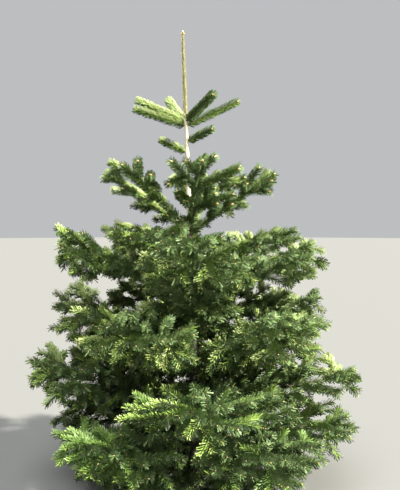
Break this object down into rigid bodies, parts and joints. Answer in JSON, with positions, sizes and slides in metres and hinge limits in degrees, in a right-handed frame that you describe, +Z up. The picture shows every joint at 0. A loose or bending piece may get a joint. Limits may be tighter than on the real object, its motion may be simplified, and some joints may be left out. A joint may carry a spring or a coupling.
{
  "type": "christmas tree, a young fir rooted in the ground",
  "caption": "Young fir grown as a Christmas tree, rooted in level ground: slender leader, open young tiers at the top, dense needled boughs below.",
  "frame": {"origin": "middle of the flat cut under the trunk, at ground level", "axes": "+Z up along the trunk; -Y towards the viewer of the picture; +X to that viewer's right"},
  "size_m": [1.7464, 1.6714, 2.45],
  "materials": {
    "bark": "smooth grey-tan young bark, paler and tan towards the leader",
    "bough_bark": "grey-brown young bark, matte",
    "needles": "glossy deep green needles with two silvery bands underneath, yellow-green on the youngest shoots",
    "buds": "tan resinous winter buds"
  },
  "bodies": {
    "root": {"between_1_and_2_foliage_1": "needles", "between_1_and_2_foliage_2": "needles", "between_1_and_2_foliage_3": "needles", "between_2_and_3_foliage_1": "needles", "between_2_and_3_foliage_2": "needles", "between_2_and_3_foliage_3": "needles", "between_3_and_4_foliage_1": "needles", "between_3_and_4_foliage_2": "needles", "between_3_and_4_foliage_3": "needles", "tier_1_foliage_1": "needles", "tier_1_foliage_2": "needles", "tier_1_foliage_3": "needles", "tier_1_foliage_4": "needles", "tier_1_foliage_5": "needles", "tier_2_foliage_1": "needles", "tier_2_foliage_2": "needles", "tier_2_foliage_3": "needles", "tier_2_foliage_4": "needles", "tier_2_foliage_5": "needles", "tier_3_foliage_1": "needles", "tier_3_foliage_2": "needles", "tier_3_foliage_3": "needles", "tier_3_foliage_4": "needles", "tier_3_foliage_5": "needles", "tier_4_foliage_1": "needles", "tier_4_foliage_2": "needles", "tier_4_foliage_3": "needles", "tier_4_foliage_4": "needles", "tier_4_foliage_5": "needles", "tier_5_bough_1": "bough_bark", "tier_5_bough_2": "bough_bark", "tier_5_bough_3": "bough_bark", "tier_5_bough_4": "bough_bark", "tier_5_bough_5": "bough_bark", "tier_5_foliage_1": "needles", "tier_5_foliage_2": "needles", "tier_5_foliage_3": "needles", "tier_5_foliage_4": "needles", "tier_5_foliage_5": "needles", "tier_6_bough_1": "bough_bark", "tier_6_bough_2": "bough_bark", "tier_6_bough_3": "bough_bark", "tier_6_bough_4": "bough_bark", "tier_6_bough_5": "bough_bark", "tier_6_foliage_1": "needles", "tier_6_foliage_2": "needles", "tier_6_foliage_3": "needles", "tier_6_foliage_4": "needles", "tier_6_foliage_5": "needles", "tier_7_bough_1": "bough_bark", "tier_7_bough_2": "bough_bark", "tier_7_bough_3": "bough_bark", "tier_7_bough_4": "bough_bark", "tier_7_bough_5": "bough_bark", "tier_7_foliage_1": "needles", "tier_7_foliage_2": "needles", "tier_7_foliage_3": "needles", "tier_7_foliage_4": "needles", "tier_7_foliage_5": "needles", "trunk": "bark"}
  },
  "joints": []
}
